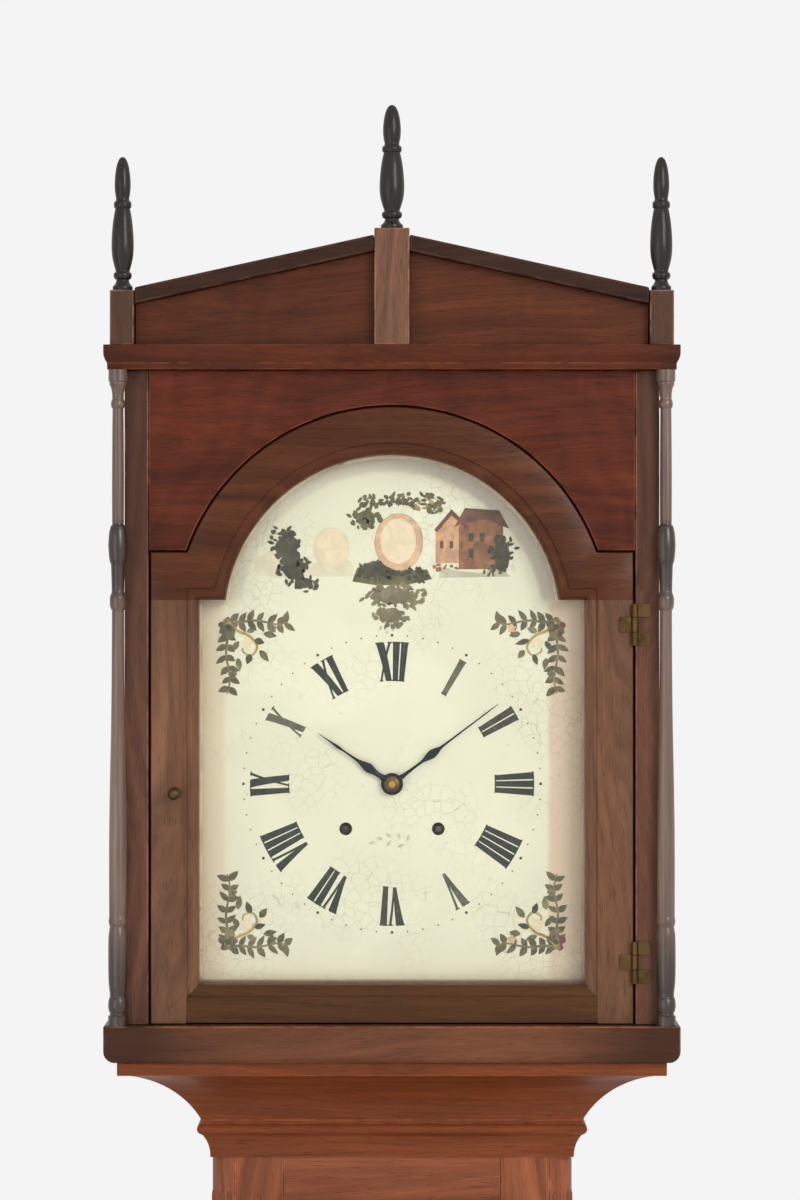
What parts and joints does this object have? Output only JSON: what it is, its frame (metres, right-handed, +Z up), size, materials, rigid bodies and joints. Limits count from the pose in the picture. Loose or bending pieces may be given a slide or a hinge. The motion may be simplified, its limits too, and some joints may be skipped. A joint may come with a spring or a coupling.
{
  "type": "tall-case clock",
  "caption": "Arched-dial tall-case clock: hood with gabled pediment, turned finials and colonettes, trunk with door, base, weight-driven striking movement and seconds pendulum.",
  "frame": {"origin": "on the floor under the middle of the overall box", "axes": "+Z up, -Y out of the dial (front), +X to the right as seen from the front"},
  "size_m": [0.4428, 0.264, 2.3],
  "materials": {
    "mahogany": "french polished, worn",
    "dark_mahogany": "french polished, dark",
    "pale_mahogany": "polished",
    "secondary_wood": "sawn, unfinished",
    "ebonised": "black stain, polished",
    "brass": "aged",
    "steel": "aged",
    "bell_metal": "cast and turned",
    "blued_steel": "blued, dark",
    "weight_iron": "painted",
    "gut_line": "twisted gut",
    "dial_paint": "cream paint, crazed",
    "glass": "clear, old"
  },
  "bodies": {
    "case": {"back_board": "secondary_wood", "trunk_sides": "mahogany", "trunk_front_frame": "mahogany", "throat_moulding": "mahogany", "base_mouldings": "mahogany", "base_box": "mahogany", "bracket_feet": "mahogany", "seat_board": "secondary_wood", "trunk_door_hinges": "brass", "movement_plates": "brass", "movement_pillars": "brass", "dial_plate": "dial_paint", "back_cock": "brass", "bell": "bell_metal", "line_tops": "gut_line", "time_line": "gut_line", "strike_line": "gut_line"},
    "trunk_door": {"trunk_door": "mahogany", "trunk_door_furniture": "brass"},
    "hood": {"hood_base_moulding": "mahogany", "hood_sides": "mahogany", "hood_front_posts": "mahogany", "hood_frieze": "mahogany", "dial_mask": "dark_mahogany", "cornice": "mahogany", "tympanum": "dark_mahogany", "raking_cornice": "mahogany", "roof_boards": "secondary_wood", "plinths": "pale_mahogany", "finials": "ebonised", "colonettes": "pale_mahogany", "hood_door_hinges": "brass"},
    "hood_door": {"hood_door_frame": "dark_mahogany", "hood_door_glass": "glass", "hood_door_furniture": "brass"},
    "minute_arbor": {"centre_arbor": "brass", "minute_hand": "blued_steel"},
    "hour_pipe": {"hour_wheel": "brass", "hour_hand": "blued_steel"},
    "minute_wheel": {"minute_wheel": "brass"},
    "time_great_wheel": {"time_great_wheel": "brass"},
    "third_wheel": {"third_wheel": "brass"},
    "escape_wheel": {"escape_wheel": "brass"},
    "anchor": {"anchor": "steel"},
    "pendulum": {"pendulum_rod": "steel", "pendulum_bob": "brass"},
    "time_barrel": {"time_barrel": "brass"},
    "strike_barrel": {"strike_barrel": "brass"},
    "strike_great_wheel": {"strike_great_wheel": "brass"},
    "pin_wheel": {"pin_wheel": "brass"},
    "gathering_wheel": {"gathering_wheel": "brass"},
    "warning_wheel": {"warning_wheel": "brass"},
    "fly": {"fly": "brass"},
    "hammer": {"hammer": "steel"},
    "time_weight": {"time_weight": "weight_iron"},
    "strike_weight": {"strike_weight": "weight_iron"},
    "time_pulley": {"time_pulley": "brass"},
    "strike_pulley": {"strike_pulley": "brass"}
  },
  "joints": [
    {"name": "hood_slide", "type": "slide", "parent": "case", "child": "hood", "axis": [0, -1, 0], "range_m": [0, 0.29]},
    {"name": "hood_door_hinge", "type": "hinge", "parent": "hood", "child": "hood_door", "pos_m": [0.187, -0.1192, 1.77], "axis": [0, 0, 1], "range_deg": [0, 105]},
    {"name": "trunk_door_hinge", "type": "hinge", "parent": "case", "child": "trunk_door", "pos_m": [0.096, -0.0585, 1.065], "axis": [0, 0, 1], "range_deg": [0, 110]},
    {"name": "pendulum_swing", "type": "hinge", "parent": "case", "child": "pendulum", "pos_m": [0, 0.051, 1.838], "axis": [0, 1, 0], "range_deg": [-3, 3]},
    {"name": "anchor_rock", "type": "hinge", "parent": "case", "child": "anchor", "pos_m": [0, 0.042, 1.838], "axis": [0, 1, 0], "range_deg": [-3, 3]},
    {"name": "minute_spin", "type": "hinge", "parent": "case", "child": "minute_arbor", "pos_m": [0, 0, 1.776], "axis": [0, 1, 0], "continuous": true},
    {"name": "hour_spin", "type": "hinge", "parent": "case", "child": "hour_pipe", "pos_m": [0, 0, 1.776], "axis": [0, 1, 0], "continuous": true},
    {"name": "minute_wheel_spin", "type": "hinge", "parent": "case", "child": "minute_wheel", "pos_m": [0, 0, 1.752], "axis": [0, 1, 0], "continuous": true},
    {"name": "time_great_spin", "type": "hinge", "parent": "case", "child": "time_great_wheel", "pos_m": [0.036, 0, 1.741], "axis": [0, 1, 0], "continuous": true},
    {"name": "third_spin", "type": "hinge", "parent": "case", "child": "third_wheel", "pos_m": [0.00966, 0, 1.79775], "axis": [0, 1, 0], "continuous": true},
    {"name": "escape_spin", "type": "hinge", "parent": "case", "child": "escape_wheel", "pos_m": [0, 0, 1.814], "axis": [0, 1, 0], "continuous": true},
    {"name": "gathering_spin", "type": "hinge", "parent": "case", "child": "gathering_wheel", "pos_m": [-0.0244, 0, 1.8036], "axis": [0, 1, 0], "continuous": true},
    {"name": "pin_wheel_spin", "type": "hinge", "parent": "case", "child": "pin_wheel", "pos_m": [-0.0302, 0, 1.782], "axis": [0, 1, 0], "continuous": true},
    {"name": "strike_great_spin", "type": "hinge", "parent": "case", "child": "strike_great_wheel", "pos_m": [-0.036, 0, 1.741], "axis": [0, 1, 0], "continuous": true},
    {"name": "warning_spin", "type": "hinge", "parent": "case", "child": "warning_wheel", "pos_m": [-0.0309, 0, 1.8214], "axis": [0, 1, 0], "continuous": true},
    {"name": "fly_spin", "type": "hinge", "parent": "case", "child": "fly", "pos_m": [-0.019, 0, 1.8283], "axis": [0, 1, 0], "continuous": true},
    {"name": "hammer_lift", "type": "hinge", "parent": "case", "child": "hammer", "pos_m": [-0.064, 0, 1.796], "axis": [0, -1, 0], "range_deg": [-2, 9], "stiffness_Nm_per_rad": 0.5},
    {"name": "time_weight_drop", "type": "slide", "parent": "case", "child": "time_weight", "axis": [0, 0, 1], "range_m": [-0.92, 0], "deforming": ["time_line"]},
    {"name": "time_barrel_wind", "type": "hinge", "parent": "case", "child": "time_barrel", "pos_m": [0.036, 0, 1.741], "axis": [0, 1, 0], "range_deg": [-5780.9, 20]},
    {"name": "time_pulley_turn", "type": "hinge", "parent": "time_weight", "child": "time_pulley", "pos_m": [0.0347, 0.002, 1.56], "axis": [0, 1, 0], "range_deg": [-3120.7, 20]},
    {"name": "strike_weight_drop", "type": "slide", "parent": "case", "child": "strike_weight", "axis": [0, 0, 1], "range_m": [-0.92, 0], "deforming": ["strike_line"]},
    {"name": "strike_barrel_wind", "type": "hinge", "parent": "case", "child": "strike_barrel", "pos_m": [-0.036, 0, 1.741], "axis": [0, 1, 0], "range_deg": [-5780.9, 20]},
    {"name": "strike_pulley_turn", "type": "hinge", "parent": "strike_weight", "child": "strike_pulley", "pos_m": [-0.0373, 0.002, 1.56], "axis": [0, 1, 0], "range_deg": [-3120.7, 20]}
  ],
  "couplings": [
    {"joint": "anchor_rock", "follows": "pendulum_swing", "ratio": 1},
    {"joint": "hour_spin", "follows": "minute_spin", "ratio": 0.083333},
    {"joint": "minute_wheel_spin", "follows": "minute_spin", "ratio": -1},
    {"joint": "time_great_spin", "follows": "minute_spin", "ratio": -0.083333},
    {"joint": "third_spin", "follows": "minute_spin", "ratio": -7.5},
    {"joint": "escape_spin", "follows": "minute_spin", "ratio": 60},
    {"joint": "pin_wheel_spin", "follows": "gathering_spin", "ratio": -0.14286},
    {"joint": "strike_great_spin", "follows": "gathering_spin", "ratio": 0.013605},
    {"joint": "warning_spin", "follows": "gathering_spin", "ratio": -8},
    {"joint": "fly_spin", "follows": "gathering_spin", "ratio": 54.857},
    {"joint": "time_barrel_wind", "follows": "time_weight_drop", "rad_per_m": 109.29},
    {"joint": "time_pulley_turn", "follows": "time_weight_drop", "rad_per_m": 58.824},
    {"joint": "strike_barrel_wind", "follows": "strike_weight_drop", "rad_per_m": 109.29},
    {"joint": "strike_pulley_turn", "follows": "strike_weight_drop", "rad_per_m": 58.824}
  ]
}
